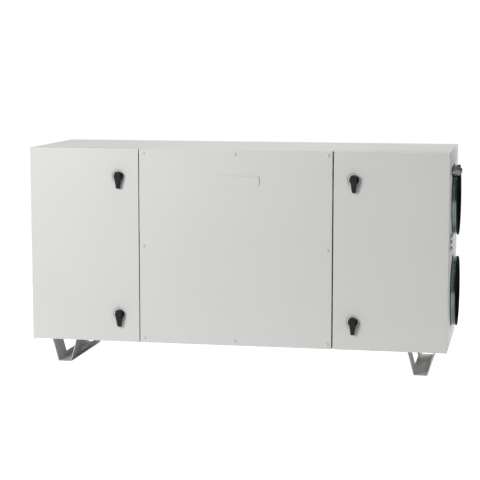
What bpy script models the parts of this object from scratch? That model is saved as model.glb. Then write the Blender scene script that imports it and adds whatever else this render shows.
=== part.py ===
"""Horizontal heat recovery unit: insulated casing, hinged service doors, rotary heat exchanger.

Casing frame, in metres: X = 0 at mid-width, Y = 0 on the front face and growing to the back,
Z = 0 on the floor. The empty unit_frame moves all of it, so that the world origin is the
centre of the bounding box's underside. +X is the supply-outlet end, -Y the service side.
"""

import math

import bmesh
import bpy
from mathutils import Matrix, Vector

# Casing
CASING_WIDTH = 1.900
CASING_HEIGHT = 0.882
CASING_DEPTH = 0.627
FOOT_HEIGHT = 0.118
PANEL = 0.050  # thickness of every double-skin insulated panel
SEAM = 0.004  # open joint round the front panels, and behind the doors
GAP = 0.0003  # clearance between pieces that touch
EDGE = 0.0015  # bend radius of the panel sheets
ROUND = 40  # sides of the large round pieces
MULLION_X = 0.441  # seam between a door and the centre panel
MULLION_WIDTH = 0.100
SHELF = 0.020  # insulated shelf between the supply and the extract side

# Ducts
DUCT_RADIUS = 0.157  # spigot for a 315 mm duct
DUCT_WALL = 0.0025
DUCT_HOLE_PLAY = 0.0016
DUCT_OFFSET = 0.2085  # spigot axis above or below mid-height
DUCT_PROUD = 0.029
DUCT_Y = 0.3135
FLANGE_RADIUS = 0.165
SEAL_HEIGHT = 0.0028

# Hinges
HINGE_INSET = 0.0045  # axis to the casing's side
HINGE_RADIUS = 0.0035
HINGE_PIN = 0.00175
HINGE_HALF = 0.040
HINGE_FROM_END = 0.130
HINGE_LEAF = 0.0025
HINGE_LEAF_REACH = 0.035  # from the casing's side
HINGE_PIN_REACH = 0.034  # of the pin above the joint between the halves
HINGE_PIN_PLAY = 0.0002
HINGE_REBATE = 0.009  # of the door's back edge
CORNER_CUT = 0.008  # chamfer on the casing that the door's edge turns past

# Latches
LATCH_X = 0.534
LATCH_FROM_END = 0.1255
DISH_RADIUS = 0.034
DISH_FLOOR = 0.027
DISH_DEPTH = 0.006
LEVER_HUB = 0.0220
LEVER_DISC = 0.008
LEVER_WIDTH = 0.028
LEVER_TIP_WIDTH = 0.0165
LEVER_ABOVE = 0.020
LEVER_REACH = 0.056
LEVER_PROUD = 0.030
LEVER_TIP_PROUD = 0.018
SPINDLE = 0.006
CAM_LENGTH = 0.062
CAM_THICKNESS = 0.004

# Feet
FOOT_X = 0.826
FOOT_SHIFT = 0.004  # of both feet, towards +X
FOOT_FLAT = 0.062
FOOT_LEAN = math.radians(15)
FOOT_SHEET = 0.003
FOOT_START = 0.073
FOOT_END = 0.550
FOOT_RAIL = 0.021
FOOT_FLANGE = 0.020
FOOT_WINDOW = (0.205, 0.410)

# Rotor
WHEEL_RADIUS = 0.250
WHEEL_HALF = 0.100
ROTOR_Y = 0.3155
CASSETTE_HALF = 0.120
AXLE_RADIUS = 0.0125
PULLEY_RADIUS = 0.030
PULLEY_GROOVE = 0.001
PULLEY_Y = 0.500
PULLEY_Z = 0.235
BELT_LOW_X = 0.040
BELT_WIDTH = 0.012
BELT_THICKNESS = 0.003
BELT_LIFT = 0.0008

# Fans, filters and coil
FAN_PLATE_X = 0.570
FAN_RADIUS = 0.140
FAN_INLET = 0.095
NOZZLE_RADIUS = 0.091
FAN_WIDTH = 0.096
BLADES = 7
BLADE_INNER = 0.098
BLADE_OUTER = 0.138
BLADE_SWEEP = math.radians(42)
ROD_OFFSET = 0.118
FILTER_X = (0.620, 0.716)
COIL_X = (0.800, 0.860)
PIPE_RADIUS = 0.012
PIPE_Z = 0.908
PIPE_Y = (0.140, 0.200)
PIPE_PROUD = 0.042
UNION_RADIUS = 0.0165
UNION_REACH = (0.012, 0.036)  # from the end panel

# Door gasket
GASKET_X = (0.455, 0.912)
GASKET_Z = (0.130, 0.988)
GASKET_WIDTH = 0.012

# Centre panel and electrics
BADGE = (0.225, 0.042, 0.0025)
BADGE_Z = 0.863
CONTROL_BOX = ((0.165, 0.060, 0.175), (0.385, 0.150, 0.535))
GLAND_Y = 0.100
GLAND_Z = 0.600
GLAND_PITCH = 0.027

HALF = CASING_WIDTH / 2
BOTTOM = FOOT_HEIGHT
TOP = FOOT_HEIGHT + CASING_HEIGHT
MIDDLE = (BOTTOM + TOP) / 2
FRAME_Y = PANEL + SEAM
INNER_BACK = CASING_DEPTH - PANEL
INNER_LOW = BOTTOM + PANEL
INNER_HIGH = TOP - PANEL
HINGE_X = HALF - HINGE_INSET
HINGE_Y = PANEL + SEAM / 2

# The pipe stubs stand out furthest on +X, the spigots on -X, the levers on -Y.
SHIFT = Vector((
    -(PIPE_PROUD - DUCT_PROUD) / 2,
    -(CASING_DEPTH - LEVER_PROUD) / 2,
    0.0,
))

FINISHES = {  # base colour, roughness, metallic
    "coated_steel": ((0.66, 0.66, 0.64, 1), 0.45, 0.0),
    "frame_steel": ((0.42, 0.43, 0.43, 1), 0.45, 0.6),
    "foot_steel": ((0.52, 0.52, 0.50, 1), 0.50, 0.2),
    "galvanised": ((0.16, 0.21, 0.20, 1), 0.35, 0.7),
    "black_plastic": ((0.018, 0.018, 0.017, 1), 0.40, 0.0),
    "rubber": ((0.02, 0.02, 0.02, 1), 0.75, 0.0),
    "aluminium": ((0.70, 0.71, 0.72, 1), 0.35, 1.0),
    "filter_media": ((0.80, 0.79, 0.74, 1), 0.90, 0.0),
    "plated_brass": ((0.42, 0.43, 0.43, 1), 0.32, 1.0),
    "impeller_plastic": ((0.07, 0.08, 0.09, 1), 0.45, 0.0),
    "motor_paint": ((0.05, 0.05, 0.055, 1), 0.40, 0.2),
}


def clear_scene():
    for obj in list(bpy.data.objects):
        bpy.data.objects.remove(obj, do_unlink=True)


def make_material(name):
    colour, roughness, metallic = FINISHES[name]
    material = bpy.data.materials.new(name)
    material.use_nodes = True
    shader = material.node_tree.nodes["Principled BSDF"]
    shader.inputs["Base Color"].default_value = colour
    shader.inputs["Roughness"].default_value = roughness
    shader.inputs["Metallic"].default_value = metallic
    material.diffuse_color = colour
    return material


def make_empty(name, place, parent=None):
    empty = bpy.data.objects.new(name, None)
    empty.location = place
    empty.parent = parent
    bpy.context.collection.objects.link(empty)
    return empty


# ---------------------------------------------------------------- shape helpers


def box(low, high, edge=0.0):
    """A box between two corners, its edges rounded to a bend radius."""
    low, high = Vector(low), Vector(high)
    shape = bmesh.new()
    bmesh.ops.create_cube(shape, size=1.0)
    size = high - low
    for vertex in shape.verts:
        vertex.co = Vector(c * s for c, s in zip(vertex.co, size)) + (low + high) / 2
    round_edges(shape, edge)
    return shape


def round_edges(shape, radius, steps=2):
    if radius > 0:
        edges = shape.edges[:]
        bmesh.ops.bevel(
            shape, geom=edges, offset=radius, segments=steps, profile=0.5, affect="EDGES"
        )


def prism(outline, start, end, along="Z", edge=0.0):
    """An outline of (a, b) points, extruded along an axis: a, b are the other two axes in order."""
    shape = bmesh.new()
    order = {"X": (2, 0, 1), "Y": (0, 2, 1), "Z": (0, 1, 2)}[along]
    points = [(a, b, start) for a, b in outline]
    corners = [shape.verts.new([point[i] for i in order]) for point in points]
    face = shape.faces.new(corners)
    made = bmesh.ops.extrude_face_region(shape, geom=[face])
    moved = [item for item in made["geom"] if isinstance(item, bmesh.types.BMVert)]
    step = Vector([(0, 0, end - start)[i] for i in order])
    bmesh.ops.translate(shape, verts=moved, vec=step)
    bmesh.ops.recalc_face_normals(shape, faces=shape.faces)
    round_edges(shape, edge)
    return shape


def turned(profile, along="Z", centre=(0, 0, 0), segments=ROUND):
    """A closed profile of (radius, distance) points turned about an axis through the centre."""
    shape = bmesh.new()
    points = [shape.verts.new((radius, 0, distance)) for radius, distance in profile]
    edges = [shape.edges.new(pair) for pair in zip(points, points[1:] + points[:1])]
    bmesh.ops.spin(
        shape,
        geom=points + edges,
        cent=(0, 0, 0),
        axis=(0, 0, 1),
        angle=2 * math.pi,
        steps=segments,
        use_merge=True,
    )
    bmesh.ops.remove_doubles(shape, verts=shape.verts, dist=1e-6)
    flat = [edge for edge in shape.edges if edge.calc_length() < 1e-7 or not edge.link_faces]
    bmesh.ops.delete(shape, geom=flat, context="EDGES")
    bmesh.ops.recalc_face_normals(shape, faces=shape.faces)
    turn = {
        "X": Matrix.Rotation(math.pi / 2, 4, "Y"),
        "Y": Matrix.Rotation(-math.pi / 2, 4, "X"),
        "Z": Matrix.Identity(4),
    }[along]
    shape.transform(Matrix.Translation(centre) @ turn)
    return shape


def rod(radius, start, end, along="Z", centre=(0, 0, 0), segments=16):
    """A plain round bar from start to end along an axis, the centre giving its other two places."""
    profile = [(0, start), (radius, start), (radius, end), (0, end)]
    place = Vector(centre)
    place["XYZ".index(along)] = 0
    return turned(profile, along, place, segments)


def arc(centre, radius, start, end, steps):
    """Points on an arc, angles in radians, both ends included."""
    turns = [start + (end - start) * i / steps for i in range(steps + 1)]
    return [
        (centre[0] + radius * math.cos(turn), centre[1] + radius * math.sin(turn))
        for turn in turns
    ]


def rounded_rectangle(width, height, radius, centre=(0, 0), steps=5):
    outline = []
    corners = ((1, 1, 0), (-1, 1, 1), (-1, -1, 2), (1, -1, 3))
    for side, level, quarter in corners:
        middle = (
            centre[0] + side * (width / 2 - radius),
            centre[1] + level * (height / 2 - radius),
        )
        start = quarter * math.pi / 2
        outline += arc(middle, radius, start, start + math.pi / 2, steps)
    return outline


def mesh_of(shape, name):
    bmesh.ops.recalc_face_normals(shape, faces=shape.faces)
    mesh = bpy.data.meshes.new(name)
    shape.to_mesh(mesh)
    shape.free()
    return mesh


def joined(first, *others, operation="UNION", solver="EXACT"):
    """One closed body from several shapes, by Booleans. The shapes are used up."""
    base = bpy.data.objects.new("boolean_base", mesh_of(first, "boolean_base"))
    bpy.context.collection.objects.link(base)
    for other in others:
        tool = bpy.data.objects.new("boolean_tool", mesh_of(other, "boolean_tool"))
        bpy.context.collection.objects.link(tool)
        cut = base.modifiers.new("boolean", "BOOLEAN")
        cut.operation = operation
        cut.solver = solver
        cut.object = tool
        graph = bpy.context.evaluated_depsgraph_get()
        result = bpy.data.meshes.new_from_object(base.evaluated_get(graph))
        base.modifiers.clear()
        base.data = result
        bpy.data.objects.remove(tool, do_unlink=True)
    shape = bmesh.new()
    shape.from_mesh(base.data)
    bpy.data.objects.remove(base, do_unlink=True)
    return shape


def cut_from(shape, *tools):
    return joined(shape, *tools, operation="DIFFERENCE")


def mirrored(shape, side):
    """The shape itself on the +X side, its mirror image on the -X side."""
    if side < 0:
        shape.transform(Matrix.Scale(-1, 4, (1, 0, 0)))
        bmesh.ops.reverse_faces(shape, faces=shape.faces)
    return shape


def finish(name, shape, finish_name, pivot=(0, 0, 0), smooth=False):
    """Makes the named object. The shape is in the casing frame, the object's origin at the pivot."""
    shape.transform(Matrix.Translation(-Vector(pivot)))
    mesh = mesh_of(shape, name)
    if smooth:
        mesh.shade_smooth()
        mesh.set_sharp_from_angle(angle=math.radians(35))
    mesh.materials.append(MATERIALS[finish_name])
    obj = bpy.data.objects.new(name, mesh)
    obj.location = pivot
    obj.parent = UNIT
    bpy.context.collection.objects.link(obj)
    return obj


# ---------------------------------------------------------------- casing


def plan_outline(back):
    """Plan of a floor or roof panel: its front corners are cut for the doors to turn past."""
    return [
        (-HALF, FRAME_Y + CORNER_CUT),
        (-HALF + CORNER_CUT, FRAME_Y),
        (HALF - CORNER_CUT, FRAME_Y),
        (HALF, FRAME_Y + CORNER_CUT),
        (HALF, back),
        (-HALF, back),
    ]


def build_casing():
    outline = plan_outline(CASING_DEPTH)
    finish("bottom_panel", prism(outline, BOTTOM, INNER_LOW, edge=EDGE), "coated_steel")
    finish("top_panel", prism(outline, INNER_HIGH, TOP, edge=EDGE), "coated_steel")
    back = box(
        (-HALF, INNER_BACK, INNER_LOW + GAP), (HALF, CASING_DEPTH, INNER_HIGH - GAP), EDGE
    )
    finish("back_panel", back, "coated_steel")


def duct_levels():
    return {"upper": MIDDLE + DUCT_OFFSET, "lower": MIDDLE - DUCT_OFFSET}


def build_end_panel(side, name):
    inner = HALF - PANEL
    outline = [
        (inner, FRAME_Y),
        (HALF - CORNER_CUT, FRAME_Y),
        (HALF, FRAME_Y + CORNER_CUT),
        (HALF, INNER_BACK - GAP),
        (inner, INNER_BACK - GAP),
    ]
    panel = prism(outline, INNER_LOW + GAP, INNER_HIGH - GAP, edge=EDGE)
    through = (inner - 0.01, HALF + 0.01)
    holes = [
        rod(DUCT_RADIUS + DUCT_HOLE_PLAY, *through, "X", (0, DUCT_Y, level), ROUND)
        for level in duct_levels().values()
    ]
    if side > 0:
        holes += [rod(PIPE_RADIUS + 0.002, *through, "X", (0, y, PIPE_Z)) for y in PIPE_Y]
    finish(name, mirrored(cut_from(panel, *holes), side), "coated_steel")


def build_mullion(side, name):
    half = MULLION_WIDTH / 2
    post = box(
        (MULLION_X - half, FRAME_Y, INNER_LOW + GAP),
        (MULLION_X + half, FRAME_Y + PANEL, INNER_HIGH - GAP),
        EDGE,
    )
    finish(name, mirrored(post, side), "frame_steel")


def build_shelf(side, name):
    """Shelf between the two air streams, notched round the mullion."""
    front, back = FRAME_Y + GAP, INNER_BACK - GAP
    start, end = CASSETTE_HALF + 2 * GAP, HALF - PANEL - GAP
    notch = (
        MULLION_X - MULLION_WIDTH / 2 - GAP,
        MULLION_X + MULLION_WIDTH / 2 + GAP,
    )
    behind = FRAME_Y + PANEL + GAP
    outline = [
        (start, front),
        (notch[0], front),
        (notch[0], behind),
        (notch[1], behind),
        (notch[1], front),
        (end, front),
        (end, back),
        (start, back),
    ]
    shelf = prism(outline, MIDDLE - SHELF / 2, MIDDLE + SHELF / 2)
    finish(name, mirrored(shelf, side), "frame_steel")


def build_centre_panel():
    half = MULLION_X - SEAM / 2
    panel = box((-half, 0, BOTTOM), (half, FRAME_Y - GAP, TOP), 2 * EDGE)
    finish("front_centre_panel", panel, "coated_steel")
    width, height, thickness = BADGE
    outline = rounded_rectangle(width, height, height / 4, (0, BADGE_Z))
    badge = prism(outline, -thickness - GAP, -GAP, "Y")
    finish("blank_name_plate", badge, "coated_steel")


def build_foot(side, name):
    """Folded sheet channel, its walls leaning out to flanges under the casing, with windows."""
    rise = BOTTOM - GAP
    lean = math.tan(FOOT_LEAN)
    wall = FOOT_SHEET / math.cos(FOOT_LEAN)
    flat, sheet, flange = FOOT_FLAT / 2, FOOT_SHEET, FOOT_FLANGE

    def at(height):
        return flat + height * lean

    outer = [
        (flat, 0),
        (at(rise - sheet), rise - sheet),
        (at(rise) + flange, rise - sheet),
        (at(rise) + flange, rise),
        (at(rise) - wall, rise),
        (at(sheet) - wall, sheet),
    ]
    outline = outer + [(-a, b) for a, b in reversed(outer)]
    centre = FOOT_X + side * FOOT_SHIFT
    outline = [(centre + a, b) for a, b in outline]
    channel = prism(outline, FOOT_START, FOOT_END, "Y")
    half = at(rise) + 2 * flange
    window = box(
        (centre - half, FOOT_WINDOW[0], FOOT_RAIL),
        (centre + half, FOOT_WINDOW[1], rise - 2 * sheet),
    )
    finish(name, mirrored(cut_from(channel, window), side), "foot_steel")


# ---------------------------------------------------------------- ducts, pipes, cables


def build_spigot(side, level, name):
    """Duct spigot with an inner flange, and the rubber lip seal round its mouth."""
    centre = (0, DUCT_Y, duct_levels()[level])
    bore = DUCT_RADIUS - DUCT_WALL
    inside = HALF - PANEL - GAP
    mouth = HALF + DUCT_PROUD
    collar = [
        (bore, inside - 0.004),
        (FLANGE_RADIUS, inside - 0.004),
        (FLANGE_RADIUS, inside),
        (DUCT_RADIUS, inside),
        (DUCT_RADIUS, mouth),
        (bore, mouth),
    ]
    shape = turned(collar, "X", centre)
    finish(name, mirrored(shape, side), "galvanised", smooth=True)
    on_collar = DUCT_RADIUS + GAP
    seal = [
        (on_collar, mouth - 0.009),
        (on_collar + SEAL_HEIGHT, mouth - 0.005),
        (on_collar + SEAL_HEIGHT / 2, mouth - 0.002),
        (on_collar, mouth - 0.002),
    ]
    shape = turned(seal, "X", centre)
    finish(name.replace("spigot", "lip_seal"), mirrored(shape, side), "rubber", smooth=True)


def build_pipe(place_y, name):
    """Water pipe stub from the coil, with a hexagon union outside the end panel."""
    end = HALF + PIPE_PROUD
    centre = (0, place_y, PIPE_Z)
    pipe = rod(PIPE_RADIUS, COIL_X[1] + GAP, end, "X", centre)
    start, stop = UNION_REACH
    union = rod(UNION_RADIUS, HALF + start, HALF + stop, "X", centre, 6)
    bore = rod(PIPE_RADIUS - 0.002, end - 0.025, end + 0.01, "X", centre)
    finish(name, cut_from(joined(pipe, union), bore), "plated_brass", smooth=True)


def build_gland_strip():
    """Plastic entry plate with a row of cable glands, on the end panel."""
    face = HALF + GAP
    length = 2 * GLAND_PITCH + 0.028
    outline = rounded_rectangle(0.040, length, 0.004, (GLAND_Y, GLAND_Z), 2)
    plate = prism(outline, face, face + 0.004, "X")
    glands = []
    for step in (-1, 0, 1):
        centre = (0, GLAND_Y, GLAND_Z + step * GLAND_PITCH)
        glands.append(rod(0.0095, face + 0.002, face + 0.009, "X", centre, 6))
        glands.append(rod(0.0075, face + 0.008, face + 0.014, "X", centre, 16))
    finish("cable_gland_strip", joined(plate, *glands), "black_plastic")


# ---------------------------------------------------------------- doors, hinges, latches


def build_door(side, name):
    """Door leaf: rebated over the hinge, with a pressed dish and a spindle hole at each latch."""
    depth = PANEL - HINGE_LEAF
    outline = [
        (MULLION_X + SEAM / 2, 0),
        (HALF, 0),
        (HALF, depth),
        (HALF - HINGE_REBATE, depth),
        (HALF - HINGE_REBATE, PANEL),
        (MULLION_X + SEAM / 2, PANEL),
    ]
    leaf = prism(outline, BOTTOM, TOP, edge=EDGE)
    tools = []
    slope = (DISH_RADIUS - DISH_FLOOR) / DISH_DEPTH
    for level in latch_levels().values():
        mouth = DISH_RADIUS + slope * 0.002
        cone = [(0, -0.002), (mouth, -0.002), (DISH_FLOOR, DISH_DEPTH), (0, DISH_DEPTH)]
        tools.append(turned(cone, "Y", (LATCH_X, 0, level), 32))
        tools.append(rod(SPINDLE + 0.002, 0, PANEL + 0.01, "Y", (LATCH_X, 0, level)))
    pivot = (side * HINGE_X, HINGE_Y, MIDDLE)
    finish(name, mirrored(cut_from(leaf, *tools), side), "coated_steel", pivot)


def build_door_seal(side, name):
    """Gasket on the back of a door: a ring with a bar where the shelf meets the door."""
    width = GASKET_WIDTH
    (left, right), (low, high) = GASKET_X, GASKET_Z
    sheet = box((left, PANEL + GAP, low), (right, FRAME_Y - GAP, high))
    spans = ((low + width, MIDDLE - width / 2), (MIDDLE + width / 2, high - width))
    windows = [
        box((left + width, 0, start), (right - width, 2 * FRAME_Y, end)) for start, end in spans
    ]
    pivot = (side * HINGE_X, HINGE_Y, MIDDLE)
    finish(name, mirrored(cut_from(sheet, *windows), side), "rubber", pivot)


def build_hinge(side, level, end_name):
    """Lift-off hinge in the corner: a casing half with its pin, and a door half sitting on it."""
    centre = (HINGE_X, HINGE_Y, 0)
    inner = HALF - HINGE_LEAF_REACH
    door_start = level + 0.0005
    leaf = box(
        (inner, FRAME_Y - GAP - HINGE_LEAF, level - HINGE_HALF),
        (HINGE_X - 0.001, FRAME_Y - GAP, level),
    )
    knuckle = rod(HINGE_RADIUS, level - HINGE_HALF, level, "Z", centre, 16)
    pin = rod(HINGE_PIN, level - HINGE_HALF / 2, level + HINGE_PIN_REACH, "Z", centre, 12)
    name = f"{end_name}_hinge_casing_half"
    finish(name, mirrored(joined(leaf, knuckle, pin), side), "frame_steel")
    leaf = box(
        (inner, PANEL + GAP, door_start),
        (HINGE_X - 0.001, PANEL + GAP + HINGE_LEAF, level + HINGE_HALF),
    )
    knuckle = rod(HINGE_RADIUS, door_start, level + HINGE_HALF, "Z", centre, 16)
    bore = rod(
        HINGE_PIN + HINGE_PIN_PLAY, level - 0.01, level + HINGE_PIN_REACH + 0.002, "Z", centre, 12
    )
    name = f"{end_name}_hinge_door_half"
    half = cut_from(joined(leaf, knuckle), bore)
    pivot = (side * HINGE_X, HINGE_Y, level)
    finish(name, mirrored(half, side), "frame_steel", pivot)


def latch_levels():
    return {"upper": TOP - LATCH_FROM_END, "lower": BOTTOM + LATCH_FROM_END}


def grip_outline(inset):
    """Front view of the lever's grip, hub centre at 0, 0: a bar that tapers down to its tip."""
    head, tip = LEVER_WIDTH / 2 - inset, LEVER_TIP_WIDTH / 2 - inset
    top, end = LEVER_ABOVE - inset, inset - LEVER_REACH
    cut = 0.004
    side = [(head - cut, top), (head, top - cut), (head, -cut), (tip, end + cut), (tip - cut, end)]
    return side + [(-x, z) for x, z in reversed(side)]


def grip_front(z):
    """How far the grip stands out: level over the hub, sloping to the tip."""
    down = min(max(-z / LEVER_REACH, 0), 1)
    return LEVER_PROUD + (LEVER_TIP_PROUD - LEVER_PROUD) * down


def build_grip(level):
    shape = bmesh.new()
    back = LEVER_DISC / 2
    rings = []
    for inset, share in ((0.0, 0.0), (0.0008, 0.85), (0.0016, 0.96), (0.0035, 1.0)):
        ring = []
        for x, z in grip_outline(inset):
            y = -back - (grip_front(z) - back) * share
            ring.append(shape.verts.new((LATCH_X + x, y, level + z)))
        rings.append(ring)
    for lower, upper in zip(rings, rings[1:]):
        for i, corner in enumerate(lower):
            j = (i + 1) % len(lower)
            shape.faces.new((corner, lower[j], upper[j], upper[i]))
    shape.faces.new(rings[0])
    front = shape.faces.new(rings[-1])
    bmesh.ops.triangulate(shape, faces=[front])
    bmesh.ops.recalc_face_normals(shape, faces=shape.faces)
    return shape


def build_lever(side, level, name):
    """Lever handle with its disc and spindle through the door, and the cam that turns with it."""
    centre = (LATCH_X, 0, level)
    disc = [
        (0, DISH_DEPTH - GAP),
        (LEVER_HUB, DISH_DEPTH - GAP),
        (LEVER_HUB, -LEVER_DISC + 0.002),
        (LEVER_HUB - 0.002, -LEVER_DISC),
        (0, -LEVER_DISC),
    ]
    cam_start = FRAME_Y + PANEL + SEAM
    hub = turned(disc, "Y", centre, 32)
    spindle = rod(SPINDLE, -0.004, cam_start - GAP, "Y", (LATCH_X, 0, level), 16)
    pivot = (side * LATCH_X, 0, level)
    handle = mirrored(joined(build_grip(level), hub, spindle), side)
    finish(f"{name}_lever", handle, "black_plastic", pivot, smooth=True)
    end = (LATCH_X, level - CAM_LENGTH + SPINDLE)
    outline = arc((LATCH_X, level), 2 * SPINDLE, 0, math.pi, 10)
    outline += arc(end, SPINDLE, math.pi, 2 * math.pi, 6)
    cam = prism(outline, cam_start, cam_start + CAM_THICKNESS, "Y")
    finish(f"{name}_cam", mirrored(cam, side), "frame_steel", pivot)


# ---------------------------------------------------------------- rotor


def build_rotor():
    """Rotor cassette, axle, storage wheel, belt, gear motor and pulley."""
    front, back = FRAME_Y + GAP, INNER_BACK - GAP
    low, high = INNER_LOW + GAP, INNER_HIGH - GAP
    centre = (0, ROTOR_Y, MIDDLE)
    sheet = 0.003
    wall = box((-0.010, front, low), (0.010, back, high))
    opening = rod(WHEEL_RADIUS + 0.006, -0.02, 0.02, "X", centre, ROUND)
    parts = [
        box((-CASSETTE_HALF, front, low), (CASSETTE_HALF, back, low + sheet)),
        box((-CASSETTE_HALF, front, high - sheet), (CASSETTE_HALF, back, high)),
    ]
    for side in (-1, 1):
        ends = sorted((side * (WHEEL_HALF + 0.006), side * (WHEEL_HALF + 0.018)))
        parts.append(box((ends[0], ROTOR_Y - 0.02, low), (ends[1], ROTOR_Y + 0.02, high)))
        parts.append(
            box((ends[0], front, MIDDLE - SHELF / 2), (ends[1], back, MIDDLE + SHELF / 2))
        )
    cassette = joined(cut_from(wall, opening), *parts)
    ties = [
        box((-CASSETTE_HALF + 0.002, front, level), (CASSETTE_HALF - 0.002, front + sheet, top))
        for level, top in ((low, low + 0.02), (high - 0.02, high))
    ]
    finish("rotor_cassette", joined(cassette, *ties), "frame_steel")

    reach = WHEEL_HALF + 0.006 - GAP
    finish("rotor_axle", rod(AXLE_RADIUS, -reach, reach, "X", centre), "frame_steel", smooth=True)
    bore = AXLE_RADIUS + 0.001
    wheel = [
        (bore, -WHEEL_HALF - 0.003),
        (0.040, -WHEEL_HALF - 0.003),
        (0.044, -WHEEL_HALF),
        (WHEEL_RADIUS, -WHEEL_HALF),
    ]
    wheel += [(radius, -x) for radius, x in reversed(wheel)]
    shape = turned(wheel, "X", centre, 48)
    finish("rotor_wheel", shape, "aluminium", centre, smooth=True)
    build_belt(centre)

    pulley_centre = (0, PULLEY_Y, PULLEY_Z)
    rim = BELT_LOW_X - 0.003
    pulley = [
        (0, rim),
        (PULLEY_RADIUS + 0.002, rim),
        (PULLEY_RADIUS + 0.002, rim + 0.002),
        (PULLEY_RADIUS - PULLEY_GROOVE, rim + 0.002),
        (PULLEY_RADIUS - PULLEY_GROOVE, BELT_LOW_X + BELT_WIDTH + 0.001),
        (PULLEY_RADIUS + 0.002, BELT_LOW_X + BELT_WIDTH + 0.001),
        (PULLEY_RADIUS + 0.002, BELT_LOW_X + BELT_WIDTH + 0.003),
        (0, BELT_LOW_X + BELT_WIDTH + 0.003),
    ]
    shape = turned(pulley, "X", pulley_centre, 24)
    finish("motor_pulley", shape, "black_plastic", pulley_centre, smooth=True)
    start = BELT_LOW_X + BELT_WIDTH + 0.003 + GAP
    body = rod(0.035, start, start + 0.085, "X", pulley_centre)
    foot = box(
        (start + 0.010, PULLEY_Y - 0.025, low + sheet + GAP),
        (start + 0.050, PULLEY_Y + 0.025, PULLEY_Z),
    )
    finish("rotor_motor", joined(body, foot), "motor_paint", smooth=True)


def build_belt(centre):
    """Open belt round the wheel's rim and the pulley: two arcs and their common tangents."""
    apart = Vector((PULLEY_Y - centre[1], PULLEY_Z - centre[2]))
    heading = math.atan2(apart.y, apart.x)
    rings = []
    for lift in (BELT_LIFT, BELT_LIFT + BELT_THICKNESS):
        big, small = WHEEL_RADIUS + lift, PULLEY_RADIUS - PULLEY_GROOVE + lift
        lean = math.acos((big - small) / apart.length)
        path = arc((centre[1], centre[2]), big, heading + lean, heading - lean + 2 * math.pi, 36)
        path += arc((PULLEY_Y, PULLEY_Z), small, heading - lean, heading + lean, 8)
        rings.append(path)
    shape = bmesh.new()
    start, end = BELT_LOW_X, BELT_LOW_X + BELT_WIDTH
    loops = [
        [shape.verts.new((x, y, z)) for y, z in ring]
        for ring, x in ((rings[0], start), (rings[1], start), (rings[1], end), (rings[0], end))
    ]
    for near, far in zip(loops, loops[1:] + loops[:1]):
        for i, corner in enumerate(near):
            j = (i + 1) % len(near)
            shape.faces.new((corner, near[j], far[j], far[i]))
    finish("drive_belt", shape, "rubber", smooth=True)


# ---------------------------------------------------------------- fans, filters, coil


def compartment(level):
    """Lowest and highest Z between the shelf and the floor or roof panel."""
    if level == "upper":
        return MIDDLE + SHELF / 2, INNER_HIGH
    return INNER_LOW, MIDDLE - SHELF / 2


def blade_outline(turn):
    """A backward-curved blade seen along the fan's axis, as two offset arcs."""
    steps = 4
    half = 0.00125
    front, back = [], []
    for i in range(steps + 1):
        share = i / steps
        radius = BLADE_INNER + (BLADE_OUTER - BLADE_INNER) * share
        angle = turn - BLADE_SWEEP * share**1.2
        step = half / radius * 1.4
        front.append((radius * math.cos(angle + step), radius * math.sin(angle + step)))
        back.append((radius * math.cos(angle - step), radius * math.sin(angle - step)))
    return front + back[::-1]


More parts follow.
